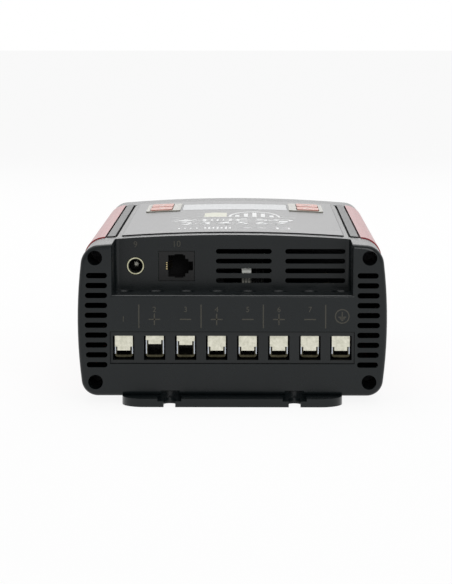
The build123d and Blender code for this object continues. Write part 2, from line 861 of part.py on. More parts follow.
# fixed wire cages, one closed strap for each pole with two board pins
with BuildPart() as wire_cages:
    with BuildSketch(across(cage_back)):
        with Locations([(x, (cage_bottom + cage_top) / 2) for x in pole_x]):
            RectangleRounded(2 * cage_half_width, cage_top - cage_bottom, cage_bend)
        inner_low = cage_bottom + cage_web
        inner_high = cage_top - cage_roof
        with Locations([(x, (inner_low + inner_high) / 2) for x in pole_x]):
            Rectangle(
                2 * (cage_half_width - cage_wall), inner_high - inner_low, mode=Mode.SUBTRACT
            )
    extrude(amount=cage_back - cage_front)
    with BuildSketch(level(cage_top + 1)):
        with Locations([(x, driver_y) for x in pole_x]):
            Circle(cage_hole_r)
    extrude(amount=-cage_roof - 2, mode=Mode.SUBTRACT)
    with BuildSketch(level(main_board_z - 1.5)):
        with Locations(cage_pins):
            Circle(cage_pin_r)
    extrude(amount=cage_bottom + 0.2 - main_board_z + 1.5)
save(wire_cages.part, "wire_cages")

# pressure plate and screw of each pole
for i, x in enumerate(pole_x):
    plate_z = plate_rest.get(i + 1, plate_low)
    tab_front = cage_front - tab_gap - tab_thickness
    with BuildPart() as pressure_plate:
        with BuildSketch(across(plate_back)):
            with Locations((x, plate_z)):
                Rectangle(
                    2 * plate_half_width, plate_thickness, align=(Align.CENTER, Align.MIN)
                )
        extrude(amount=plate_back - tab_front)
        with BuildSketch(across(cage_front - tab_gap)):
            with Locations((x, plate_z + tab_shoulder)):
                Rectangle(2 * tab_half_width, tab_height, align=(Align.CENTER, Align.MIN))
        extrude(amount=tab_thickness)
        # grip ribs under the plate
        with BuildSketch(level(plate_z)):
            with Locations([(x, driver_y - 9 + 3 * k) for k in range(6)]):
                Rectangle(2 * plate_half_width, 0.8)
        extrude(amount=0.35, mode=Mode.SUBTRACT)
    save(pressure_plate.part, f"pressure_plate_{i + 1}")

    head_z = plate_z + plate_thickness + term_head_rise
    with BuildPart() as terminal_screw:
        with BuildSketch(level(plate_z + plate_thickness + term_shank_gap)):
            with Locations((x, driver_y)):
                Circle(term_shank_r)
        extrude(amount=term_head_rise - term_shank_gap)
        with BuildSketch(level(head_z)):
            with Locations((x, driver_y)):
                Circle(term_head_r)
        extrude(amount=term_head_height)
        with BuildSketch(level(head_z + term_head_height - 1.5)):
            with Locations((x, driver_y)):
                Rectangle(4.2, term_cross)
                Rectangle(term_cross, 4.2)
        extrude(amount=2, mode=Mode.SUBTRACT)
    save(terminal_screw.part, f"terminal_screw_{i + 1}")

# board that carries both jacks, standing on the main board
jack_board_x = data_left - board_thickness
with BuildPart() as jack_board:
    with BuildSketch(level(board_top)):
        with Locations((jack_board_x, bay_back + bay_wall + 0.8)):
            Rectangle(board_thickness, 44, align=(Align.MIN, Align.MIN))
    extrude(amount=data_mid_z + data_height / 2 + 1.4 - board_top)
save(jack_board.part, "jack_board")

# sensor jack: a housing with a dark liner inside the ring, and legs to the board
with BuildPart() as sensor_jack_body:
    with BuildSketch(across(sensor_front + sensor_depth)):
        with Locations((sensor_x, sensor_z)):
            Rectangle(9.4, 11)
    extrude(amount=sensor_front + sensor_depth - bay_back - bay_wall)
    with BuildSketch(across(sensor_floor)):
        with Locations((sensor_x, sensor_z)):
            Circle(sensor_ring_r + 0.05)
    extrude(amount=sensor_floor - sensor_front, mode=Mode.SUBTRACT)
    with BuildSketch(across(sensor_floor)):
        with Locations((sensor_x, sensor_z)):
            Circle(sensor_ring_bore - 0.03)
            Circle(sensor_liner, mode=Mode.SUBTRACT)
    extrude(amount=sensor_floor - sensor_front - 0.8)
    with BuildSketch(Plane.YZ.offset(sensor_x + 4.7)):
        with Locations(
            (sensor_floor + 2, sensor_z - 3),
            (sensor_floor + 2, sensor_z + 3),
            (sensor_floor - 4, sensor_z - 5),
        ):
            Rectangle(1.6, 0.7)
    extrude(amount=jack_board_x - sensor_x - 4.7)
save(sensor_jack_body.part, "sensor_jack_body")

with BuildPart() as sensor_jack_ring:
    with BuildSketch(across(sensor_floor)):
        with Locations((sensor_x, sensor_z)):
            Circle(sensor_ring_r)
            Circle(sensor_ring_bore, mode=Mode.SUBTRACT)
    extrude(amount=sensor_floor - sensor_front)
save(sensor_jack_ring.part, "sensor_jack_ring")

with BuildPart() as sensor_jack_pin:
    with BuildSketch(across(sensor_floor)):
        with Locations((sensor_x, sensor_z)):
            Circle(sensor_pin_r)
    extrude(amount=sensor_pin_length)
    fillet(sensor_jack_pin.faces().sort_by(Axis.Y)[0].edges(), sensor_pin_dome)
save(sensor_jack_pin.part, "sensor_jack_pin")

# data jack: contacts on the left, latch on the right
data_floor = data_back - 2.5
with BuildPart() as data_jack_body:
    with BuildSketch(across(data_back)):
        with Locations((data_left + data_width / 2, data_mid_z)):
            Rectangle(data_width, data_height)
    extrude(amount=data_back - data_front)
    with BuildSketch(across(data_floor)):
        with Locations((data_left + 8.95, data_mid_z)):
            Rectangle(8.5, 10.8)
        with Locations((data_left + 10.05, data_mid_z)):
            Rectangle(4.3, 11.8)
        with Locations((data_left + 13.95, data_mid_z - 0.1)):
            Rectangle(1.7, 7.3)
        with Locations((data_left + 15.8, data_mid_z)):
            Rectangle(2.4, 4.5)
        with Locations([(data_left + 4.0, z) for z in contact_z]):
            Rectangle(1.5, 0.62)
    extrude(amount=20, mode=Mode.SUBTRACT)
save(data_jack_body.part, "data_jack_body")

# each contact runs out along its groove and springs back into the socket
contact_tip = data_front + contact_depth
with BuildPart() as data_jack_contacts:
    for z in contact_z:
        with BuildSketch(level(z - contact_width / 2)):
            with BuildLine():
                Polyline(
                    (data_left + 3.6, data_floor),
                    (data_left + 3.6, contact_tip),
                    (data_left + 4.3, contact_tip),
                    (data_left + 4.3, contact_tip + 0.7),
                    (data_left + 6.5, data_floor - 3.0),
                    (data_left + 6.1, data_floor - 2.7),
                    (data_left + 4.05, contact_tip + 2.4),
                    (data_left + 4.05, data_floor),
                    close=True,
                )
            make_face()
        extrude(amount=contact_width)
save(data_jack_contacts.part, "data_jack_contacts")

# control board with the white header behind the vents
with BuildPart() as control_board:
    with BuildSketch(level(board_top)):
        with Locations((header_x - 0.8, bay_back + 6.4)):
            Rectangle(board_thickness, 44, align=(Align.MIN, Align.MIN))
    extrude(amount=header_z - board_top)
save(control_board.part, "control_board")

with BuildPart() as signal_header:
    with BuildSketch(level(header_z)):
        with Locations((header_x, bay_back + 7.9)):
            Rectangle(4.6, 10)
    extrude(amount=8.0)
    with BuildSketch(across(bay_back + 3.9)):
        for step in (-1.5, 0, 1.5):
            with Locations((header_x + step, header_z + 1.1)):
                Rectangle(0.7, 1.4)
    extrude(amount=2, mode=Mode.SUBTRACT)
save(signal_header.part, "signal_header")

# chokes: two cores standing flat, each with turns of wire round it
core_low = board_top + 2.0
with BuildPart() as choke_cores:
    with BuildSketch(level(core_low)):
        with Locations(choke_places):
            Circle(16)
        with Locations(choke_places):
            Circle(8.5, mode=Mode.SUBTRACT)
    extrude(amount=13)
save(choke_cores.part, "choke_cores")

with BuildPart() as choke_windings:
    for place in choke_places:
        with Locations((place[0], place[1], core_low + 6.5)):
            with PolarLocations(12.25, 16):
                Box(11.0, 1.9, 16.6)
                Box(7.7, 4.0, 13.2, mode=Mode.SUBTRACT)
save(choke_windings.part, "choke_windings")

with BuildPart() as capacitors:
    with BuildSketch(level(board_top)):
        with Locations([(x, y) for x in (capacitor_inner, capacitor_outer) for y in (-40, -64)]):
            Circle(capacitor_r)
    extrude(amount=30)
    fillet(capacitors.faces().sort_by(Axis.Z)[-4:].edges(), 1.0)
save(capacitors.part, "capacitors")

# the heat sink ends below the lowest run of the display ribbon
sink_height = display_board_z - ribbon_drop - 5 - board_top
fin_pitch = (sink_height - 4) / 5
with BuildPart() as heat_sink:
    with BuildSketch(across(60)):
        with Locations((-7, board_top)):
            Rectangle(4, sink_height, align=(Align.CENTER, Align.MIN))
        with Locations([(fin_foot, board_top + 2 + fin_pitch * k) for k in range(6)]):
            Rectangle(fin_length, 1.6, align=(Align.MIN, Align.MIN))
    extrude(amount=100)
save(heat_sink.part, "heat_sink")

with BuildPart() as transistors:
    with BuildSketch(Plane.YZ.offset(-9)):
        with Locations([(y, board_top + 16) for y in (-26, -10, 6, 22)]):
            Rectangle(10, 15.5)
    extrude(amount=-4.5)
    with BuildSketch(level(board_top)):
        for y in (-26, -10, 6, 22):
            with Locations((-11, y - 2.54), (-11, y), (-11, y + 2.54)):
                Rectangle(0.6, 0.9)
    extrude(amount=9)
save(transistors.part, "transistors")

# fan
with BuildPart() as fan_housing:
    with BuildSketch(across(fan_front + fan_depth)):
        with Locations((0, fan_z)):
            Rectangle(fan_size, fan_size)
            Circle(fan_bore_r, mode=Mode.SUBTRACT)
    extrude(amount=fan_depth)
    fillet(fan_housing.edges().filter_by(Axis.Y).sort_by(Axis.Z)[:2], 3)
    fillet(fan_housing.edges().filter_by(Axis.Y).sort_by(Axis.Z)[-2:], 3)
    # arms and cup that carry the rotor
    with BuildSketch(across(fan_front + 3)):
        with Locations((0, fan_z)):
            Rectangle(2 * fan_bore_r + 1, 3.2)
            Rectangle(3.2, 2 * fan_bore_r + 1)
            Circle(fan_hub_r)
    extrude(amount=3)
    with BuildSketch(across(fan_front + fan_depth + 1)):
        with Locations((0, fan_z)):
            with GridLocations(fan_hole_span, fan_hole_span, 2, 2):
                Circle(1.6)
    extrude(amount=fan_depth + 2, mode=Mode.SUBTRACT)
save(fan_housing.part, "fan_housing")

with BuildPart() as fan_rotor:
    with BuildSketch(across(fan_front + fan_depth - 1)):
        with Locations((0, fan_z)):
            Circle(fan_hub_r)
    extrude(amount=15.4)
    fillet(fan_rotor.faces().sort_by(Axis.Y)[-1].edges(), 1.2)
    for k in range(blade_count):
        spoke = Plane(
            origin=(0, fan_front + 11.5, fan_z),
            x_dir=(0, 1, 0),
            z_dir=(math.cos(math.tau * k / blade_count), 0, math.sin(math.tau * k / blade_count)),
        )
        with BuildSketch(spoke.offset(fan_hub_r - 0.5)):
            Rectangle(blade_chord, 1.3, rotation=90 - blade_pitch)
        extrude(amount=blade_r - fan_hub_r - 0.2)
save(fan_rotor.part, "fan_rotor")

with BuildPart() as fan_screws:
    with BuildSketch(across(case_rear + 1.6)):
        with Locations((0, fan_z)):
            with GridLocations(fan_hole_span, fan_hole_span, 2, 2):
                Circle(3.0)
    extrude(amount=1.6)
    with BuildSketch(across(case_rear)):
        with Locations((0, fan_z)):
            with GridLocations(fan_hole_span, fan_hole_span, 2, 2):
                Circle(1.5)
    extrude(amount=16)
    with BuildSketch(across(case_rear + 2.6)):
        with Locations((0, fan_z)):
            with GridLocations(fan_hole_span, fan_hole_span, 2, 2):
                Rectangle(3.6, 0.8)
                Rectangle(0.8, 3.6)
    extrude(amount=2, mode=Mode.SUBTRACT)
save(fan_screws.part, "fan_screws")
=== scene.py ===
import bpy
import math
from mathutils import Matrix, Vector


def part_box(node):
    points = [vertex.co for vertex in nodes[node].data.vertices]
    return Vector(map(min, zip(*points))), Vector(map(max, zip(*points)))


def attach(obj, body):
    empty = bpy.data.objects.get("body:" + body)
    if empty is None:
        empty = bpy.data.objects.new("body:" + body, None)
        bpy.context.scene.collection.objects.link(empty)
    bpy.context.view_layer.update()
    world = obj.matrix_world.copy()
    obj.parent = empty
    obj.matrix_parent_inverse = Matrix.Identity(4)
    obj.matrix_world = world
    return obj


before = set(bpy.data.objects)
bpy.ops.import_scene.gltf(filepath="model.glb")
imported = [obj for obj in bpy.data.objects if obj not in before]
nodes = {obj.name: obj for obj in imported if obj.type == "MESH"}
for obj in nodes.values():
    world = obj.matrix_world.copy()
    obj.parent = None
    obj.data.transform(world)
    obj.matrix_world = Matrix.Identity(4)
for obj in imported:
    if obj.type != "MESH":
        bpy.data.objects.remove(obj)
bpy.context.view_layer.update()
bpy.ops.object.select_all(action="DESELECT")
print("frame loaded:", len(nodes), "nodes")

cameraView = {
    "lens": 140.6,
    "sensorWidth": 36,
    "clip": (0.05, 60),
    "place": (0.0085, -1.230, 0.18683),
    "tiltDegrees": 83.15,
    "turnDegrees": 0.60,
}

studio = {
    "floorSize": 24.0,
    "floorZ": -0.0002,
    "floorColour": (0.90, 0.90, 0.90, 1),
    "floorGlow": 0.90,
    "worldAmbient": 0.50,
    "glossyFront": 0.52,
    "glossyBack": 1.02,
    "glossyTurn": 0.4,  # front light turns to back light while a direction's Y crosses this
    "lampTarget": (0, -0.03, 0.03),
    "lamps": {
        # name: place, size, power
        "topLamp": ((0.0, 0.35, 1.25), 1.1, 7.0),
        "frontLamp": ((0.45, -1.60, 0.80), 0.9, 8.0),
        "backLamp": ((0.0, 1.3, 0.9), 1.0, 4.0),
    },
}


class Wire:
    # a socket that takes part in sums: each operator adds one Math node
    def __init__(self, finish, socket):
        self.finish = finish
        self.socket = socket

    def maths(self, operation, first, second):
        return self.finish.maths(operation, first, second)

    def __add__(self, other):
        return self.maths("ADD", self, other)

    def __radd__(self, other):
        return self.maths("ADD", other, self)

    def __sub__(self, other):
        return self.maths("SUBTRACT", self, other)

    def __rsub__(self, other):
        return self.maths("SUBTRACT", other, self)

    def __mul__(self, other):
        return self.maths("MULTIPLY", self, other)

    def __rmul__(self, other):
        return self.maths("MULTIPLY", other, self)

    def __truediv__(self, other):
        return self.maths("DIVIDE", self, other)

    def __rtruediv__(self, other):
        return self.maths("DIVIDE", other, self)

    def __gt__(self, other):
        return self.maths("GREATER_THAN", self, other)

    def __lt__(self, other):
        return self.maths("LESS_THAN", self, other)


class Sheet:
    # a node tree being filled: one material or the world
    def __init__(self, owner):
        self.owner = owner
        owner.use_nodes = True
        self.tree = owner.node_tree
        self.tree.nodes.clear()

    def feed(self, socket, value):
        if isinstance(value, Wire):
            self.tree.links.new(value.socket, socket)
        elif hasattr(value, "__len__") and len(value) == 3 and socket.type == "RGBA":
            socket.default_value = (*value, 1)
        else:
            socket.default_value = value

    def node(self, kind, settings=None, inputs=None, output=0):
        made = self.tree.nodes.new(kind)
        for key, value in (settings or {}).items():
            if key == "stops":
                ramp = made.color_ramp
                while len(ramp.elements) > 1:
                    ramp.elements.remove(ramp.elements[-1])
                for i, (place, colour) in enumerate(value):
                    stop = ramp.elements[0] if i == 0 else ramp.elements.new(place)
                    stop.position = place
                    stop.color = (*colour, 1)
            else:
                setattr(made, key, value)
        for key, value in (inputs or {}).items():
            self.feed(made.inputs[key], value)
        return Wire(self, made.outputs[output])

    def maths(self, operation, first, second=None):
        inputs = {0: first} if second is None else {0: first, 1: second}
        return self.node("ShaderNodeMath", {"operation": operation}, inputs)

    def finishWith(self, kind, surface):
        output = self.tree.nodes.new(kind)
        self.tree.links.new(surface.socket, output.inputs["Surface"])


class Finish(Sheet):
    # one material: its Principled shader, and the nodes that feed it
    def __init__(self, name, **shader):
        super().__init__(bpy.data.materials.new(name))
        self.material = self.owner
        made = self.node("ShaderNodeBsdfPrincipled")
        self.shader = made.socket.node
        self.finishWith("ShaderNodeOutputMaterial", made)
        self.set(**shader)

    def set(self, **sockets):
        # baseColor feeds the socket Base Color, and so on
        for key, value in sockets.items():
            name = "".join(" " + c if c.isupper() else c for c in key).title()
            if name == "Specular":
                name = "Specular IOR Level"
            self.feed(self.shader.inputs[name], value)

    def place(self, stretch=(1, 1, 1)):
        # object coordinates, in metres, stretched to draw a grain out
        spot = self.node("ShaderNodeTexCoord", output="Object")
        return self.node("ShaderNodeMapping", {}, {"Vector": spot, "Scale": stretch})

    def noise(self, scale, stretch=(1, 1, 1), detail=2.0, rough=0.5):
        return self.node(
            "ShaderNodeTexNoise",
            {},
            {"Vector": self.place(stretch), "Scale": scale, "Detail": detail, "Roughness": rough},
        )

    def bands(self, direction, scale, distortion=0.0, detail=2.0):
        return self.node(
            "ShaderNodeTexWave",
            {"wave_type": "BANDS", "bands_direction": direction},
            {
                "Vector": self.place(),
                "Scale": scale,
                "Distortion": distortion,
                "Detail": detail,
            },
            output=1,
        )

    def along(self, axis):
        # one object coordinate on its own
        spot = self.node("ShaderNodeTexCoord", output="Object")
        return self.node("ShaderNodeSeparateXYZ", {}, {0: spot}, output="XYZ".index(axis))

    def ramp(self, value, stops):
        return self.node("ShaderNodeValToRGB", {"stops": stops}, {"Fac": value})

    def blend(self, factor, first, second):
        return self.node(
            "ShaderNodeMix", {"data_type": "RGBA"}, {0: factor, 6: first, 7: second}, output=2
        )

    def bump(self, height, strength, distance):
        raised = self.node(
            "ShaderNodeBump", {}, {"Height": height, "Strength": strength, "Distance": distance}
        )
        self.feed(self.shader.inputs["Normal"], raised)

    def vectorMaths(self, operation, first, second, output=0):
        inputs = {0: first, 1: second}
        return self.node("ShaderNodeVectorMath", {"operation": operation}, inputs, output)

    def faceInside(self, middle):
        # 1 where a face looks towards the line along Y through middle, as inner walls do;
        # the small threshold keeps faces that look along Y out
        threshold = -0.0002
        spot = self.node("ShaderNodeTexCoord", output="Object")
        outward = self.node("ShaderNodeTexCoord", output="Normal")
        arm = self.vectorMaths("SUBTRACT", spot, middle)
        flat = self.vectorMaths("MULTIPLY", arm, (1, 0, 1))
        return self.vectorMaths("DOT_PRODUCT", flat, outward, output=1) < threshold

    def towards(self, direction):
        # 1 on faces square to one way, as cut ends are
        nearlySquare = 0.9
        outward = self.node("ShaderNodeTexCoord", output="Normal")
        return self.vectorMaths("DOT_PRODUCT", direction, outward, output=1) > nearlySquare


def mouldedPlastic(name, dark, light, grainScale, roughness, specular=0.30, grainBump=0.35):
    # spark-textured moulding: fine grain, slow colour drift, faint rubbed patches
    grainDepth = 0.00002
    finish = Finish(name, specular=specular)
    drift = finish.noise(38, detail=3)
    grain = finish.noise(grainScale, detail=1.5)
    rubbed = finish.noise(150, detail=4, rough=0.65)
    colour = finish.blend(drift, dark, light)
    finish.set(baseColor=colour)
    finish.set(roughness=roughness + 0.10 * (rubbed - 0.5) + 0.06 * (grain - 0.5))
    finish.bump(grain, grainBump, grainDepth)
    return finish


def extrudedMetal(
    name, dark, light, roughness, metallic=0.0, specular=0.5, bare=None, rails=None
):
    # drawn along Y: die lines, slow drift and a fine grain; the inner side's colour is painted
    # shade put on the inner walls, and rails says how far out its duller rails start and how much
    # duller they are
    caseMiddle = (0, 0, 0.040)
    finish = Finish(name, metallic=metallic, specular=specular)
    dieLines = finish.noise(900, stretch=(1, 0.012, 1), detail=3, rough=0.6)
    drift = finish.noise(22, stretch=(1, 0.25, 1), detail=2)
    grain = finish.noise(5200, detail=1)
    colour = finish.blend(drift, dark, light)
    if bare:
        # painted shade: inner walls get a dark colour in place of the light that would reach them
        colour = finish.blend(finish.faceInside(caseMiddle), colour, bare)
    if rails:
        outer = finish.maths("ABSOLUTE", finish.along("X")) > rails["from"]
        roughness = roughness + rails["duller"] * outer
    finish.set(baseColor=colour)
    finish.set(roughness=roughness + 0.10 * (dieLines - 0.5) + 0.05 * (grain - 0.5))
    finish.bump(dieLines * 0.6 + grain * 0.4, 0.12, 0.00002)
    return finish


def platedMetal(name, dark, light, roughness, lineStretch=(1, 1, 0.03), cut=None):
    # stamped and plated strip: brushed lines, dull spots, faint waviness
    finish = Finish(name, metallic=1.0)
    lines = finish.noise(1400, stretch=lineStretch, detail=2)
    spots = finish.noise(420, detail=4, rough=0.7)
    waves = finish.noise(120, detail=1)
    tone = finish.ramp(spots, [(0.38, (0, 0, 0)), (0.62, (1, 1, 1))])
    colour = finish.blend(tone, dark, light)
    if cut:
        # painted highlight: the outer half of each strap's cut end, above its web, is painted a
        # bright bluish white
        step = finish.maths("FRACT", finish.along("X") / cut["pitch"])
        fromPole = finish.maths("ABSOLUTE", step - 0.5) * cut["pitch"]
        above = (finish.along("Z") > cut["above"]) * (fromPole > cut["beyond"])
        colour = finish.blend(finish.towards((0, -1, 0)) * above, colour, cut["colour"])
    finish.set(baseColor=colour)
    finish.set(roughness=roughness + 0.12 * (lines - 0.5) + 0.10 * (0.5 - spots))
    finish.bump(lines * 0.3 + waves * 0.7, 0.25, 0.00005)
    return finish


def boardMaterial(name, dark, light, land):
    # green solder mask over copper runs, with drilled lands
    landRadius = 0.13
    finish = Finish(name, specular=0.5)
    runs = finish.node(
        "ShaderNodeTexBrick",
        {"offset": 0.37, "offset_frequency": 3, "squash": 1.6, "squash_frequency": 4},
        {
            "Vector": finish.place(),
            "Scale": 260,
            "Mortar Size": 0.045,
            "Brick Width": 1.7,
            "Row Height": 0.42,
        },
        output=1,
    )
    lands = finish.node(
        "ShaderNodeTexVoronoi", {"feature": "F1"}, {"Vector": finish.place(), "Scale": 330}
    )
    dots = lands < landRadius
    mask = finish.blend(runs, dark, light)
    finish.set(baseColor=finish.blend(dots, mask, land))
    finish.set(metallic=dots * 0.7, roughness=0.32 + 0.2 * dots)
    finish.bump(runs + dots, 0.2, 0.00004)
    return finish


def plainPlastic(
    name, dark, light, roughness, scale=300, depth=0.00003, specular=0.4, mottling=0.10
):
    # smooth plastic, film or ink: slight mottle and a very fine surface
    finish = Finish(name, specular=specular)
    mottle = finish.noise(scale, detail=3)
    fine = finish.noise(scale * 9, detail=1)
    finish.set(baseColor=finish.blend(mottle, dark, light))
    finish.set(roughness=roughness + mottling * (mottle - 0.5))
    finish.bump(fine, 0.2, depth)
    return finish


def socketPlastic(name, dark, light, shaftMiddle, shaftFrom, shaftShade):
    # jack housing: moulded outside, and a shaft whose walls and end are painted in shade, near
    # black
    finish = Finish(name, specular=0.30)
    drift = finish.noise(60, detail=3)
    grain = finish.noise(4200, detail=1.5)
    deep = finish.along("Y") > shaftFrom
    inside = finish.maths("MAXIMUM", finish.faceInside(shaftMiddle), deep)
    shell = finish.blend(drift, dark, light)
    # painted shade on the shaft's walls and end
    finish.set(baseColor=finish.blend(inside, shell, shaftShade))
    finish.set(roughness=0.42 + 0.06 * (grain - 0.5) + 0.4 * inside)
    finish.bump(grain, 0.35, 0.00002)
    return finish


def headerNylon(name, dark, light, shadow, pin, seam):
    # white nylon above the seam; below it the open side with its row of dull pins
    finish = Finish(name, specular=0.4)
    mottle = finish.noise(500, detail=3)
    pins = finish.bands("X", 210, distortion=1.5, detail=1.0)
    shade = finish.blend(pins, shadow, pin)
    body = finish.blend(mottle, dark, light)
    finish.set(baseColor=finish.blend(finish.along("Z") > seam, shade, body))
    finish.set(roughness=0.45 + 0.10 * (mottle - 0.5))
    finish.bump(mottle, 0.2, 0.00003)
    return finish


def screenGlass(name, dark, light, glow):
    # lit display behind its front glass, with the faint rows of its cells
    finish = Finish(name, specular=0.5, roughness=0.12, emissionStrength=glow)
    cloud = finish.noise(60, detail=2)
    rows = finish.bands("Y", 420)
    colour = finish.blend(0.75 * cloud + 0.25 * rows, dark, light)
    finish.set(baseColor=colour, emissionColor=colour)
    return finish


def clearPane(name, dark, light, faceOn, edgeOn):
    # clear acrylic: see-through face on, bright with sheen at a low angle, faintly rubbed
    finish = Finish(name, specular=0.6)
    haze = finish.noise(240, detail=3)
    rubs = finish.noise(900, stretch=(0.06, 1, 1), detail=2)
    slant = finish.node("ShaderNodeLayerWeight", {}, {"Blend": 0.5}, output=1)
    finish.set(baseColor=finish.blend(haze, dark, light))
    finish.set(roughness=0.10 + 0.05 * haze)
    finish.set(alpha=faceOn + (edgeOn - faceOn) * slant + 0.04 * (rubs - 0.5))
    return finish


def ribbonMaterial(name, dark, light):
    # flat cable: rounded wires side by side across X
    finish = Finish(name, specular=0.35)
    wires = finish.bands("X", 250)
    finish.set(baseColor=finish.blend(wires, dark, light), roughness=0.42 + 0.1 * (1 - wires))
    finish.bump(wires, 0.8, 0.0003)
    return finish


# each finish: its darker and its lighter colour, then its roughness and what sets it apart
capPlastic = mouldedPlastic(
    "capPlastic",
    (0.0046, 0.0068, 0.0076),
    (0.0074, 0.0104, 0.0114),
    grainScale=2600,
    roughness=0.24,
    grainBump=0.12,
)
blockPlastic = mouldedPlastic(
    "blockPlastic",
    (0.0060, 0.0080, 0.0086),
    (0.0088, 0.0110, 0.0118),
    grainScale=3400,
    roughness=0.36,
    specular=0.34,
)
sensorLiner = mouldedPlastic(
    "sensorLiner",
    (0.0030, 0.0031, 0.0030),
    (0.0050, 0.0052, 0.0050),
    grainScale=4200,
    roughness=0.50,
    specular=0.15,
)
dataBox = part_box("data_jack_body")
dataWall = 0.002
dataPlastic = socketPlastic(
    "dataPlastic",
    (0.0080, 0.0082, 0.0084),
    (0.0110, 0.0112, 0.0116),
    shaftMiddle=tuple((low + high) / 2 for low, high in zip(*dataBox)),
    shaftFrom=dataBox[0][1] + dataWall,
    # painted shade inside the jack's shaft
    shaftShade=(0.0012, 0.0012, 0.0013),
)
fanPlastic = mouldedPlastic(
    "fanPlastic",
    (0.0090, 0.0090, 0.0095),
    (0.0130, 0.0130, 0.0135),
    grainScale=3000,
    roughness=0.42,
)
modulePlastic = mouldedPlastic(
    "modulePlastic",
    (0.0150, 0.0150, 0.0150),
    (0.0220, 0.0220, 0.0220),
    grainScale=3000,
    roughness=0.50,
)
redPanel = extrudedMetal(
    "redPanel",
    (0.28, 0.006, 0.010),
    (0.36, 0.010, 0.014),
    roughness=0.22,
    specular=0.60,
    # painted shade on the red panels' inner walls
    bare=(0.016, 0.015, 0.015),
)
blackPanel = extrudedMetal(
    "blackPanel",
    (0.0080, 0.0085, 0.0090),
    (0.0120, 0.0125, 0.0130),
    roughness=0.25,
    specular=0.42,
    rails={"from": 0.0586, "duller": 0.18},
)
bottomMetal = extrudedMetal(
    "bottomMetal", (0.52, 0.53, 0.54), (0.64, 0.65, 0.66), roughness=0.36, metallic=1.0
)
sinkMetal = extrudedMetal(
    "sinkMetal", (0.012, 0.012, 0.013), (0.020, 0.020, 0.022), roughness=0.45
)
labelFilm = plainPlastic(
    "labelFilm",
    (0.0130, 0.0135, 0.0150),
    (0.0165, 0.0170, 0.0190),
    roughness=0.23,
    scale=40,
    depth=0.000002,
    specular=0.5,
    mottling=0.03,
)
surroundFilm = plainPlastic(
    "surroundFilm",
    (0.27, 0.26, 0.22),
    (0.33, 0.32, 0.27),
    roughness=0.24,
    scale=90,
    depth=0.000003,
    specular=0.5,
    mottling=0.05,
)
keyRubber = plainPlastic(
    "keyRubber",
    (0.44, 0.130, 0.085),
    (0.52, 0.165, 0.110),
    roughness=0.27,
    scale=200,
    depth=0.000004,
    mottling=0.06,
)
plateMetal = platedMetal("plateMetal", (0.62, 0.61, 0.50), (0.80, 0.78, 0.66), 0.33)
cageMetal = platedMetal(
    "cageMetal",
    (0.050, 0.046, 0.028),
    (0.085, 0.078, 0.050),
    roughness=0.36,
    lineStretch=(1, 0.03, 1),
    # painted highlight colour on the straps' cut ends
    cut={"colour": (0.62, 0.66, 0.72), "above": 0.0236, "pitch": 0.01515, "beyond": 0.00392},
)
screwSteel = platedMetal("screwSteel", (0.46, 0.46, 0.44), (0.60, 0.60, 0.57), 0.30)
blackScrew = platedMetal("blackScrew", (0.012, 0.012, 0.013), (0.026, 0.026, 0.028), 0.42)
ringMetal = platedMetal("ringMetal", (0.40, 0.39, 0.26), (0.60, 0.59, 0.43), 0.22)
pinMetal = platedMetal("pinMetal", (0.66, 0.66, 0.58), (0.82, 0.81, 0.72), 0.55)
goldMetal = platedMetal("goldMetal", (0.58, 0.47, 0.24), (0.70, 0.58, 0.32), 0.26)
standoffBrass = platedMetal("standoffBrass", (0.56, 0.42, 0.18), (0.68, 0.53, 0.26), 0.30)
boardGreen = boardMaterial(
    "boardGreen", (0.012, 0.085, 0.035), (0.020, 0.140, 0.060), land=(0.55, 0.50, 0.40)
)
whiteNylon = headerNylon(
    "whiteNylon",
    (0.74, 0.75, 0.70),
    (0.84, 0.85, 0.80),
    shadow=(0.05, 0.05, 0.045),
    pin=(0.30, 0.30, 0.26),
    seam=0.0602,
)
ribbonGrey = ribbonMaterial("ribbonGrey", (0.030, 0.030, 0.030), (0.085, 0.085, 0.082))
coreCoat = plainPlastic(
    "coreCoat", (0.020, 0.075, 0.050), (0.030, 0.105, 0.070), roughness=0.38, scale=260
)
copperWire = platedMetal("copperWire", (0.42, 0.13, 0.045), (0.55, 0.20, 0.07), 0.26)
canSleeve = plainPlastic(
    "canSleeve", (0.012, 0.014, 0.035), (0.020, 0.023, 0.055), roughness=0.28
)
packageBlack = plainPlastic(
    "packageBlack", (0.010, 0.010, 0.010), (0.018, 0.018, 0.018), roughness=0.48, scale=900
)
screenFinish = screenGlass("screenFinish", (0.42, 0.46, 0.43), (0.50, 0.54, 0.51), glow=0.45)
windowFinish = clearPane(
    "windowFinish", (0.50, 0.52, 0.54), (0.58, 0.60, 0.62), faceOn=0.26, edgeOn=0.96
)

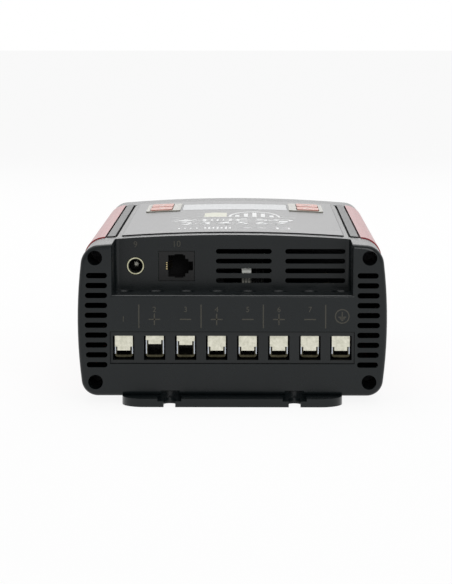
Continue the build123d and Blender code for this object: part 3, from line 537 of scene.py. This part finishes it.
nodeFinishes = {
    capPlastic: ["front_cap", "rear_cap"],
    blockPlastic: ["terminal_block"],
    redPanel: ["side_panel_left", "side_panel_right"],
    blackPanel: ["top_panel"],
    bottomMetal: ["bottom_panel"],
    labelFilm: ["label_sheet"],
    windowFinish: ["display_window"],
    surroundFilm: ["key_surround_left", "key_surround_right"],
    keyRubber: ["key_left_near", "key_left_far", "key_right_near", "key_right_far"],
    plateMetal: [f"pressure_plate_{i}" for i in range(1, 9)],
    screwSteel: [f"terminal_screw_{i}" for i in range(1, 9)] + ["display_screws", "board_screws"],
    blackScrew: ["front_cap_screws", "rear_cap_screws", "fan_screws"],
    cageMetal: ["wire_cages"],
    boardGreen: ["main_board", "display_board", "jack_board", "control_board"],
    sensorLiner: ["sensor_jack_body"],
    dataPlastic: ["data_jack_body"],
    ringMetal: ["sensor_jack_ring"],
    pinMetal: ["sensor_jack_pin"],
    goldMetal: ["data_jack_contacts"],
    whiteNylon: ["signal_header"],
    screenFinish: ["display_screen"],
    modulePlastic: ["display_module", "key_switches"],
    ribbonGrey: ["display_ribbon"],
    coreCoat: ["choke_cores"],
    copperWire: ["choke_windings"],
    canSleeve: ["capacitors"],
    sinkMetal: ["heat_sink"],
    packageBlack: ["transistors"],
    fanPlastic: ["fan_housing", "fan_rotor"],
    standoffBrass: ["standoffs", "display_posts"],
}
for finish, names in nodeFinishes.items():
    for name in names:
        nodes[name].data.materials.clear()
        nodes[name].data.materials.append(finish.material)
print("finishes set on", sum(len(n) for n in nodeFinishes.values()), "nodes")


markMesh = {
    "cell": 0.003,  # longest stretch of a flat strip left undivided
    "mostCuts": 24,
    "roundSides": 32,
    "depth": 0.00003,  # half the thickness of ink on an upright face
    "figureShare": 0.69,  # height of a figure as a share of its type size
    "figureCurve": 3,
}


def startClean():
    bpy.ops.object.select_all(action="DESELECT")


def settle(piece, name, finish, body="case"):
    # place goes into the mesh, then the piece gets its finish and its body
    piece.name = name
    piece.data.name = name
    startClean()
    piece.select_set(True)
    bpy.context.view_layer.objects.active = piece
    bpy.ops.object.transform_apply(location=True, rotation=True, scale=True)
    piece.data.materials.clear()
    piece.data.materials.append(finish.material)
    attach(piece, body)
    startClean()


def joinAll(parts):
    # every part's place goes into its mesh first, so the joined piece sits at the origin
    startClean()
    for part in parts:
        part.select_set(True)
    bpy.context.view_layer.objects.active = parts[0]
    bpy.ops.object.transform_apply(location=True, rotation=True, scale=True)
    if len(parts) > 1:
        bpy.ops.object.join()
    return bpy.context.object


def applyModifier(piece, kind, **settings):
    bpy.context.view_layer.objects.active = piece
    step = piece.modifiers.new(kind.lower(), kind)
    for key, value in settings.items():
        setattr(step, key, value)
    bpy.ops.object.modifier_apply(modifier=step.name)


def editAll(piece, *steps):
    # runs edit mode operators on the whole of one piece
    startClean()
    piece.select_set(True)
    bpy.context.view_layer.objects.active = piece
    bpy.ops.object.mode_set(mode="EDIT")
    bpy.ops.mesh.select_all(action="SELECT")
    for operator, settings in steps:
        operator(**settings)
    bpy.ops.object.mode_set(mode="OBJECT")


def flatBar(x, y, width, depth, turn=0.0):
    # flat strip lying on the XY plane, divided so that it can follow a curve
    startClean()
    bpy.ops.mesh.primitive_plane_add(size=1, location=(x, y, 0), rotation=(0, 0, turn))
    strip = bpy.context.object
    strip.scale = (width, depth, 1)
    bpy.ops.object.transform_apply(location=False, rotation=False, scale=True)
    cuts = min(markMesh["mostCuts"], int(max(width, depth) / markMesh["cell"]))
    if cuts:
        editAll(strip, (bpy.ops.mesh.subdivide, {"number_cuts": cuts}))
    return strip


def flatRing(x, y, outer, width, stretch=1.0, above=None):
    # ring on the XY plane: a filled circle's face inset and its middle taken out
    startClean()
    bpy.ops.mesh.primitive_circle_add(
        vertices=markMesh["roundSides"], radius=outer, fill_type="NGON", location=(x, y, 0)
    )
    ring = bpy.context.object
    if width < outer:
        editAll(
            ring,
            (bpy.ops.mesh.inset, {"thickness": width, "depth": 0}),
            (bpy.ops.mesh.delete, {"type": "FACE"}),
        )
    ring.scale = (1, stretch, 1)
    bpy.ops.object.transform_apply(location=True, rotation=False, scale=True)
    if above is not None:
        cut = {"plane_co": (0, above, 0), "plane_no": (0, 1, 0), "clear_inner": True}
        editAll(ring, (bpy.ops.mesh.bisect, cut))
    return ring


def flatWedge(x, y, size, turn):
    # three-sided mark that points where it is turned
    startClean()
    bpy.ops.mesh.primitive_circle_add(
        vertices=3, radius=size, fill_type="NGON", location=(x, y, 0), rotation=(0, 0, turn)
    )
    return bpy.context.object


def layOn(parts, support, thickness, above):
    # drops joined flat marks onto a CAD surface, follows its curve and gives them thickness
    for part in parts:
        part.location.z += above
    printed = joinAll(parts)
    applyModifier(
        printed,
        "SHRINKWRAP",
        target=support,
        wrap_method="PROJECT",
        use_project_z=True,
        use_negative_direction=True,
        use_positive_direction=False,
        offset=thickness / 2,
    )
    applyModifier(printed, "SOLIDIFY", thickness=thickness, offset=0)
    return printed


def bar(centre, size):
    # thin printed strip on an upright face
    startClean()
    bpy.ops.mesh.primitive_cube_add(size=1, location=centre)
    strip = bpy.context.object
    strip.scale = size
    bpy.ops.object.transform_apply(location=False, rotation=False, scale=True)
    return strip


def figure(text, centre, height, turn=(0, 0, 0), depth=0.0, widen=1.0, bold=0.0):
    # plain figure, made a mesh before its place is applied
    startClean()
    bpy.ops.object.text_add(location=centre, rotation=turn)
    writing = bpy.context.object
    writing.data.body = text
    writing.data.size = height / markMesh["figureShare"]
    writing.data.align_x = "CENTER"
    writing.data.align_y = "CENTER"
    writing.data.extrude = depth
    writing.data.offset = bold
    writing.data.resolution_u = markMesh["figureCurve"]
    bpy.ops.object.convert(target="MESH")
    writing = bpy.context.object
    writing.scale = (widen, 1, 1)
    return writing


def ringMark(centre, outer, width, turn, sides):
    # flat ring on an upright face, then given a thickness
    startClean()
    bpy.ops.mesh.primitive_circle_add(
        vertices=sides, radius=outer, fill_type="NGON", location=centre, rotation=turn
    )
    ring = bpy.context.object
    editAll(
        ring,
        (bpy.ops.mesh.inset, {"thickness": width, "depth": 0}),
        (bpy.ops.mesh.delete, {"type": "FACE"}),
    )
    applyModifier(ring, "SOLIDIFY", thickness=2 * markMesh["depth"], offset=0)
    return ring


def makeCamera():
    turn = (math.radians(cameraView["tiltDegrees"]), 0, math.radians(cameraView["turnDegrees"]))
    bpy.ops.object.camera_add(location=cameraView["place"], rotation=turn)
    viewCamera = bpy.context.object
    viewCamera.name = "viewCamera"
    viewCamera.data.lens = cameraView["lens"]
    viewCamera.data.sensor_width = cameraView["sensorWidth"]
    viewCamera.data.clip_start, viewCamera.data.clip_end = cameraView["clip"]
    bpy.context.scene.camera = viewCamera
    bpy.context.scene.view_settings.view_transform = "Standard"


def lookedAt(sheet):
    # 1 where the camera looks, straight, mirrored or through clear plastic
    straight = sheet.node("ShaderNodeLightPath")
    shiny = sheet.node("ShaderNodeLightPath", output="Is Glossy Ray")
    through = sheet.node("ShaderNodeLightPath", output="Is Transmission Ray")
    return sheet.maths("MAXIMUM", sheet.maths("MAXIMUM", straight, shiny), through)


def makeFloor():
    # pale floor that keeps its shadow, and is seen by the camera nearly white
    startClean()
    bpy.ops.mesh.primitive_plane_add(size=studio["floorSize"], location=(0, 0, studio["floorZ"]))
    floor = bpy.context.object
    floor.name = "studioFloor"
    paint = Sheet(bpy.data.materials.new("floorPaint"))
    lit = paint.node("ShaderNodeBsdfDiffuse", {}, {"Color": studio["floorColour"]})
    glow = paint.node("ShaderNodeEmission", {}, {"Color": (1, 1, 1, 1)})
    seen = lookedAt(paint) * studio["floorGlow"]
    surface = paint.node("ShaderNodeMixShader", {}, {0: seen, 1: lit, 2: glow})
    paint.finishWith("ShaderNodeOutputMaterial", surface)
    floor.data.materials.append(paint.owner)


def makeWorld():
    # white where the camera or clear plastic looks, darker on the viewer's side in reflections
    world = bpy.data.worlds.new("studioWorld")
    bpy.context.scene.world = world
    air = Sheet(world)
    straight = air.node("ShaderNodeLightPath")
    through = air.node("ShaderNodeLightPath", output="Is Transmission Ray")
    shiny = air.node("ShaderNodeLightPath", output="Is Glossy Ray")
    view = air.node("ShaderNodeTexCoord")
    depth = air.node("ShaderNodeSeparateXYZ", {}, {0: view}, output=1)
    turn = studio["glossyTurn"]
    back = air.node(
        "ShaderNodeMapRange", {}, {"Value": depth, "From Min": -turn, "From Max": turn}
    )
    front, rear = studio["glossyFront"], studio["glossyBack"]
    mirrored = front + (rear - front) * back
    direct = air.maths("MAXIMUM", straight, through)
    level = studio["worldAmbient"] * (1 - direct) + direct
    strength = level * (1 - shiny) + mirrored * shiny
    light = air.node("ShaderNodeBackground", {}, {"Color": (1, 1, 1, 1), "Strength": strength})
    air.finishWith("ShaderNodeOutputWorld", light)


def makeLamps():
    target = Vector(studio["lampTarget"])
    for name, (place, size, power) in studio["lamps"].items():
        startClean()
        aim = (target - Vector(place)).to_track_quat("-Z", "Y").to_euler()
        bpy.ops.object.light_add(type="AREA", location=place, rotation=aim)
        lamp = bpy.context.object
        lamp.name = name
        lamp.data.shape = "DISK"
        lamp.data.size = size
        lamp.data.energy = power


makeCamera()
makeFloor()
makeWorld()
makeLamps()
print("studio ready")

capMarks = {
    "face": -0.1300,
    "depth": 0.00004,
    "poles": 8,
    "pitch": 0.01515,
    "dividers": (-3, -1, 1, 3),
    "dividerZ": 0.0427,
    "dividerHeight": 0.0116,
    "lineWidth": 0.00055,
    "plus": (-5, -1, 3),
    "minus": (-3, 1, 5),
    "signZ": 0.04125,
    "signSize": 0.0056,
    "earth": (0.0535, 0.0428),
    "earthRadius": 0.0036,
    "earthSides": 40,
    "earthStem": (0.0009, 0.0026),  # how far above the middle, how tall
    "earthBars": (0.0038, 0.0024, 0.0010),  # widths from the top down
    "earthBarTop": -0.0004,
    "earthBarStep": 0.0008,
    "figureZ": 0.0460,
    "figureHeight": 0.0026,
    "bayFace": -0.1044,
    "bayFigures": (("9", -0.0482, 0.0752), ("10", -0.02785, 0.0755)),
    "bayFigureHeight": 0.0030,
}
upright = (math.radians(90), 0, 0)  # turns a flat figure to face the terminal end
printedInk = plainPlastic(
    "printedInk", (0.042, 0.039, 0.029), (0.054, 0.050, 0.038), roughness=0.55, scale=900
)


def makeCapMarks():
    m = capMarks
    parts = []
    for step in m["dividers"]:
        x = step * m["pitch"]
        size = (m["lineWidth"], m["depth"], m["dividerHeight"])
        parts.append(bar((x, m["face"], m["dividerZ"]), size))
    for step in m["plus"]:
        x = step * m["pitch"] / 2
        for size in (
            (m["signSize"], m["depth"], m["lineWidth"]),
            (m["lineWidth"], m["depth"], m["signSize"]),
        ):
            parts.append(bar((x, m["face"], m["signZ"]), size))
    for step in m["minus"]:
        x = step * m["pitch"] / 2
        parts.append(bar((x, m["face"], m["signZ"]), (m["signSize"], m["depth"], m["lineWidth"])))
    firstPole = -m["pitch"] * (m["poles"] - 1) / 2
    for i in range(m["poles"] - 1):
        z = m["figureZ"] if i else m["signZ"]
        place = (firstPole + i * m["pitch"], m["face"], z)
        parts.append(figure(str(i + 1), place, m["figureHeight"], upright, markMesh["depth"]))
    x, z = m["earth"]
    middle = (x, m["face"], z)
    parts.append(ringMark(middle, m["earthRadius"], m["lineWidth"], upright, m["earthSides"]))
    rise, tall = m["earthStem"]
    parts.append(bar((x, m["face"], z + rise), (m["lineWidth"], m["depth"], tall)))
    for k, wide in enumerate(m["earthBars"]):
        level = z + m["earthBarTop"] - m["earthBarStep"] * k
        parts.append(bar((x, m["face"], level), (wide, m["depth"], m["lineWidth"])))
    settle(joinAll(parts), "capPrint", printedInk)
    parts = []
    for text, x, z in m["bayFigures"]:
        place = (x, m["bayFace"], z)
        parts.append(figure(text, place, m["bayFigureHeight"], upright, markMesh["depth"]))
    settle(joinAll(parts), "bayPrint", printedInk)
    print("marks on the cap made")


labelMarks = {
    "ink": ((0.54, 0.55, 0.55), (0.64, 0.65, 0.65)),
    "paleInk": ((0.42, 0.42, 0.30), (0.50, 0.50, 0.37)),
    "thickness": 0.00005,
    "line": 0.0019,
    "rows": (-0.0275, -0.0465),
    "rowHeight": 0.0160,
    "pairs": (("2", "3", -0.0195), ("4", "5", 0.0), ("6", "7", 0.0195)),
    "pairReach": 0.0048,
    "figureWiden": 0.68,
    "figureBold": 0.00060,
    "ruleY": -0.0085,
    "ruleEnds": (-0.0330, 0.0330),
    "signs": {"sun": -0.0255, "panel": -0.0085, "battery": 0.0095, "lamp": 0.0262},
    "arrows": (-0.0170, 0.0005, 0.0180),
    "cellPlace": (-0.0100, 0.0055),
    "cellSize": (0.0120, 0.0270),
    "hill": (0.0110, -0.0075, 0.0140, 2.35),  # middle, foot, reach and how much taller
    "hillBars": (0.35, 0.7, 0.9, 0.7, 0.35),
    "hillBarPitch": 0.0046,
    "hillBarWidth": 0.0022,
    "hillFill": 0.86,
    "smallY": -0.0730,
    "smallHeight": 0.0130,
    "smallBars": (7, -0.0142, 0.0021),  # how many, the first one's place, their pitch
    "smallTicks": (4, -0.0275, 0.0030),
    "smallWedges": (0.0070, 0.0140),
    "smallWedgeSize": 0.0024,
    "smallStem": (0.0016, 0.0020),  # how far behind its wedge, how long
    "smallBox": (0.0255, 0.0070, 0.0040),  # place, width, width of the lines in it
    "hover": 0.002,
}


def sunSign(x, y, high, line):
    parts = [flatRing(x, y, 0.24 * high, 0.24 * high)]
    for k in range(8):
        angle = math.radians(45 * k)
        reach = 0.40 * high
        place = (x + reach * math.cos(angle), y + reach * math.sin(angle))
        parts.append(flatBar(*place, 0.16 * high, line, turn=angle))
    return parts


def boxSign(x, y, wide, high, line):
    parts = [flatBar(x, y + side * (high - line) / 2, wide, line) for side in (-1, 1)]
    return parts + [flatBar(x + side * (wide - line) / 2, y, line, high) for side in (-1, 1)]


def batterySign(x, y, high, line):
    # box with two posts, a plus and a minus
    body = 0.72 * high
    middle, top = y - 0.5 * line, y + body / 2 + 0.4 * line
    parts = boxSign(x, middle, high, body, line)
    for side in (-1, 1):
        parts.append(flatBar(x + side * 0.26 * high, top, 2.2 * line, 2 * line))
        parts.append(flatBar(x + side * 0.24 * high, middle, 2.6 * line, line))
    parts.append(flatBar(x + 0.24 * high, middle, line, 2.6 * line))
    return parts


def panelSign(x, y, high, line):
    # framed panel with its grid
    parts = boxSign(x, y, 0.95 * high, 0.80 * high, line)
    parts += [flatBar(x + k * 0.19 * high, y, 0.6 * line, 0.80 * high) for k in (-1, 0, 1)]
    return parts + [flatBar(x, y, 0.95 * high, 0.6 * line)]


def lampSign(x, y, high, line):
    parts = [flatRing(x, y + 0.14 * high, 0.32 * high, line)]
    return parts + [flatBar(x, y - (0.24 + 0.11 * k) * high, 0.28 * high, line) for k in range(3)]


def arrowSign(x, y, line):
    return [
        flatBar(x - 0.9 * line, y, 2.6 * line, line),
        flatWedge(x + 1.0 * line, y, 1.6 * line, math.radians(-90)),
    ]


def makeLabelMarks():
    # signs over the terminals they use, a day's curve over its bars, a charge cell, a small row
    m = labelMarks
    high, line = m["rowHeight"], m["line"]
    far, near = m["rows"]
    signs, finer = m["signs"], 0.8 * line
    parts = sunSign(signs["sun"], far, high, line) + panelSign(signs["panel"], far, high, finer)
    parts += batterySign(signs["battery"], far, high, finer)
    parts += lampSign(signs["lamp"], far, high, line)
    for x in m["arrows"]:
        parts += arrowSign(x, far, finer)
    bold = {"height": 0.9 * high, "widen": m["figureWiden"], "bold": m["figureBold"]}
    for first, second, x in m["pairs"]:
        parts.append(figure(first, (x - m["pairReach"], near, 0), **bold))
        parts.append(figure(second, (x + m["pairReach"], near, 0), **bold))
        parts.append(flatBar(x, near, 0.7 * line, finer))
    low, end = m["ruleEnds"]
    parts.append(flatBar((low + end) / 2, m["ruleY"], end - low, 0.5 * line))
    x, y, reach, stretch = m["hill"]
    parts.append(flatRing(x, y, reach, 0.7 * line, stretch=stretch, above=y))
    for k, tall in enumerate(m["hillBars"]):
        deep = tall * reach * stretch * m["hillFill"]
        place = x + (k - 2) * m["hillBarPitch"]
        parts.append(flatBar(place, y + deep / 2, m["hillBarWidth"], deep))
    small, tall = m["smallY"], m["smallHeight"]
    count, start, pitch = m["smallBars"]
    for k in range(count):
        share = 1.0 if k % 2 else 0.7
        parts.append(flatBar(start + pitch * k, small, 0.5 * line, tall * share))
    behind, long = m["smallStem"]
    for x in m["smallWedges"]:
        parts.append(flatWedge(x, small, m["smallWedgeSize"], math.radians(90)))
        parts.append(flatBar(x + behind, small, long, 0.6 * line))
    x, wide, inner = m["smallBox"]
    parts += boxSign(x, small, wide, 0.8 * tall, 0.6 * line)
    parts += [flatBar(x, small + 0.2 * side * tall, inner, 0.5 * line) for side in (-1, 1)]
    count, start, pitch = m["smallTicks"]
    parts += [flatBar(start + pitch * k, small, 0.4 * line, 0.5 * tall) for k in range(count)]
    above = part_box("label_sheet")[1][2] + m["hover"]
    film = {"scale": 500, "depth": 0.000004, "specular": 0.5, "mottling": 0.04}
    ink = plainPlastic("labelInk", *m["ink"], roughness=0.30, **film)
    printed = layOn(parts, nodes["label_sheet"], m["thickness"], above)
    settle(printed, "labelPrint", ink)

    x, y = m["cellPlace"]
    wide, deep = m["cellSize"]
    parts = [flatBar(x, y - 0.04 * deep, wide, 0.92 * deep)]
    parts.append(flatBar(x, y + 0.46 * deep, 0.4 * wide, 0.08 * deep))
    pale = plainPlastic("paleInk", *m["paleInk"], roughness=0.28, **film)
    printed = layOn(parts, nodes["label_sheet"], m["thickness"], above)
    settle(printed, "labelCell", pale)
    print("marks on the label made")


keyMarks = {
    "ink": ((0.60, 0.58, 0.54), (0.70, 0.68, 0.64)),
    "thickness": 0.00005,
    "size": 0.0024,
    "line": 0.0007,
    "barPitch": 0.0016,
    "hover": 0.002,
    "signs": {
        "key_left_near": "down",
        "key_left_far": "up",
        "key_right_near": "ring",
        "key_right_far": "bars",
    },
}


def makeKeyMarks():
    # up, down, back and set signs, each on its own key
    m = keyMarks
    size, line = m["size"], m["line"]
    ink = plainPlastic("keyInk", *m["ink"], roughness=0.34, scale=500, depth=0.00001)
    for name, sign in m["signs"].items():
        low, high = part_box(name)
        x, y = (low[0] + high[0]) / 2, (low[1] + high[1]) / 2
        if sign in ("up", "down"):
            parts = [flatWedge(x, y, size, 0 if sign == "up" else math.radians(180))]
        elif sign == "ring":
            parts = [flatRing(x, y, size, line)]
        else:
            parts = [flatBar(x, y + m["barPitch"] * k, 2 * size, line) for k in (-1, 0, 1)]
        printed = layOn(parts, nodes[name], m["thickness"], high[2] + m["hover"])
        settle(printed, name.replace("_", "") + "Sign", ink, name + "_body")
    print("signs on the keys made")


displayMarks = {
    "ink": ((0.16, 0.17, 0.16), (0.22, 0.23, 0.22)),
    "figures": (("14.4", -0.0130, 0.0052, 0.0078), ("12.0", 0.0130, 0.0052, 0.0078)),
    "small": (("25", -0.0160, -0.0075, 0.0050), ("80", 0.0160, -0.0075, 0.0050)),
    "widen": 0.92,
    "cells": (5, -0.0052, 0.0026),  # how many, the first one's place, their pitch
    "cellY": -0.0075,
    "cellSize": (0.0019, 0.0042),
    "ruleY": -0.0012,
    "ruleSize": (0.046, 0.0003),
    "thickness": 0.00005,
    "hover": 0.001,
}


def makeDisplayMarks():
    # figures and a charge bar shown on the screen under the window
    m = displayMarks
    low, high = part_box("display_screen")
    x, y = (low[0] + high[0]) / 2, (low[1] + high[1]) / 2
    parts = [
        figure(text, (x + dx, y + dy, 0), tall, widen=m["widen"])
        for text, dx, dy, tall in m["figures"] + m["small"]
    ]
    count, start, pitch = m["cells"]
    for k in range(count):
        parts.append(flatBar(x + start + pitch * k, y + m["cellY"], *m["cellSize"]))
    parts.append(flatBar(x, y + m["ruleY"], *m["ruleSize"]))
    printed = layOn(parts, nodes["display_screen"], m["thickness"], high[2] + m["hover"])
    ink = plainPlastic("screenInk", *m["ink"], roughness=0.30, scale=500, depth=0.00001)
    settle(printed, "screenFigures", ink)
    print("figures on the screen made")


makeCapMarks()
makeLabelMarks()
makeKeyMarks()
makeDisplayMarks()

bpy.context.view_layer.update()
